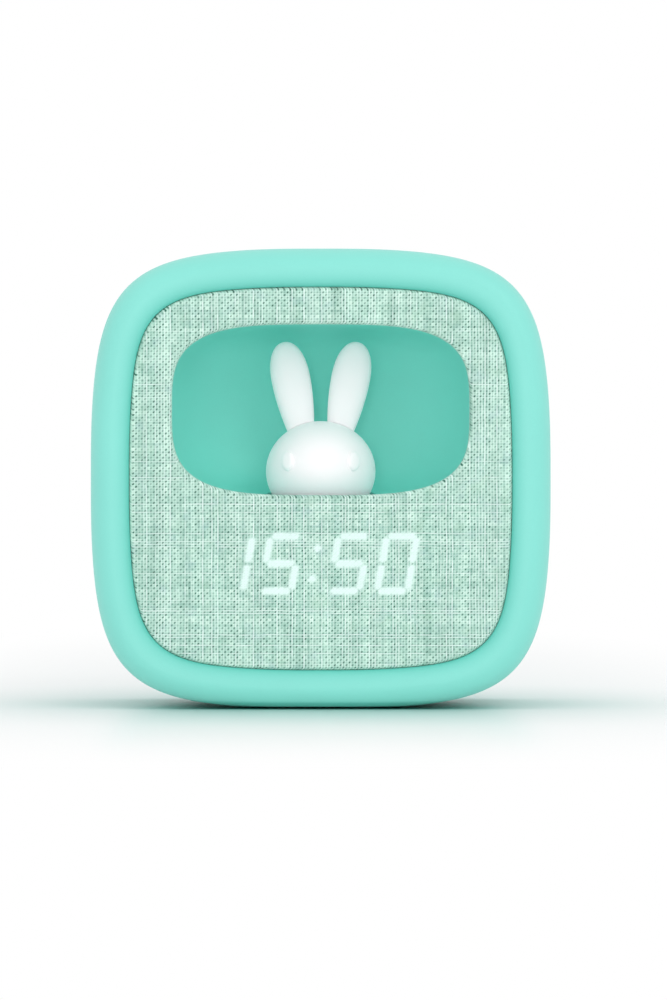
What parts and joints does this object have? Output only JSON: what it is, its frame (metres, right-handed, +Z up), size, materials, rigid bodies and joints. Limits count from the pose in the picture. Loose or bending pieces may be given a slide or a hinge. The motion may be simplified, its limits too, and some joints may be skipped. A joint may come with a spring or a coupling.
{
  "type": "kids alarm clock with night light",
  "caption": "Rounded-square bedside alarm clock: teal case, linen front with digits glowing through it, and a lit rabbit that rises and sinks in a window.",
  "frame": {"origin": "on the table under the middle of the base, midway between the front rim and the rear face", "axes": "+X to the right seen from the front, +Y from the front to the rear (the clock faces -Y), +Z up"},
  "size_m": [0.12, 0.066, 0.12],
  "materials": {
    "shell": "soft satin, teal",
    "niche": "satin, deep teal",
    "cloth": "open linen weave, pale mint",
    "panel": "satin white",
    "diffuser": "milky",
    "lit": "milky, lit from behind",
    "dark": "milky, unlit",
    "rabbit": "translucent white silicone",
    "white_part": "natural white",
    "mechanism": "dark grey",
    "board": "green solder mask",
    "black_part": "black",
    "rubber": "matt",
    "steel": "bright",
    "brass": "satin",
    "led": "clear yellow",
    "cell": "pouch foil"
  },
  "bodies": {
    "case": {"housing": "shell", "rear_cover": "shell", "feet": "rubber", "front_panel": "panel", "cloth_cover": "cloth", "niche_liner": "niche", "display_diffuser": "diffuser", "display_reflector": "panel", "segments_lit": "lit", "segments_dark": "dark", "display_board": "board", "display_leds": "led", "display_screws": "steel", "guide_rods": "steel", "lift_frame": "mechanism", "frame_screws": "steel", "gearbox": "brass", "motor_can": "steel", "motor_clamp": "steel", "clamp_screws": "steel", "control_board": "board", "control_chip": "black_part", "tact_switches": "black_part", "board_screws": "steel", "alarm_switch_body": "steel", "speaker_frame": "black_part", "speaker_cone": "black_part", "speaker_magnet": "steel", "speaker_gasket": "rubber", "power_board": "board", "usb_socket": "steel", "power_parts": "black_part", "power_screws": "steel", "battery_cell": "cell", "battery_pad": "white_part", "cover_screws": "steel"},
    "rabbit": {"rabbit_head": "rabbit", "left_ear": "rabbit", "right_ear": "rabbit", "lamp_base": "white_part", "lamp_board": "white_part", "lamp_leds": "led", "lamp_screw": "steel", "lift_carriage": "white_part"},
    "drive": {"drive_pinion": "white_part", "pinion_shaft": "steel"},
    "alarm_switch": {"alarm_switch_knob": "white_part"},
    "key_light": {"button_light": "shell", "plunger_light": "white_part"},
    "key_minus": {"button_minus": "shell", "plunger_minus": "white_part"},
    "key_set": {"button_set": "shell", "plunger_set": "white_part"},
    "key_plus": {"button_plus": "shell", "plunger_plus": "white_part"},
    "key_alarm": {"button_alarm": "shell", "plunger_alarm": "white_part"}
  },
  "joints": [
    {"name": "rabbit_lift", "type": "slide", "parent": "case", "child": "rabbit", "axis": [0, 0, 1], "range_m": [-0.04, 0]},
    {"name": "pinion_spin", "type": "hinge", "parent": "case", "child": "drive", "pos_m": [0, 0.0226, 0.05118], "axis": [1, 0, 0], "range_deg": [0, 360]},
    {"name": "alarm_switch_slide", "type": "slide", "parent": "case", "child": "alarm_switch", "axis": [1, 0, 0], "range_m": [0, 0.004]},
    {"name": "key_light_press", "type": "slide", "parent": "case", "child": "key_light", "axis": [0, -1, 0], "range_m": [0, 0.0006], "stiffness_N_per_m": 500},
    {"name": "key_minus_press", "type": "slide", "parent": "case", "child": "key_minus", "axis": [0, -1, 0], "range_m": [0, 0.0006], "stiffness_N_per_m": 500},
    {"name": "key_set_press", "type": "slide", "parent": "case", "child": "key_set", "axis": [0, -1, 0], "range_m": [0, 0.0006], "stiffness_N_per_m": 500},
    {"name": "key_plus_press", "type": "slide", "parent": "case", "child": "key_plus", "axis": [0, -1, 0], "range_m": [0, 0.0006], "stiffness_N_per_m": 500},
    {"name": "key_alarm_press", "type": "slide", "parent": "case", "child": "key_alarm", "axis": [0, -1, 0], "range_m": [0, 0.0006], "stiffness_N_per_m": 500}
  ],
  "couplings": [
    {"joint": "pinion_spin", "follows": "rabbit_lift", "rad_per_m": -156.25}
  ]
}
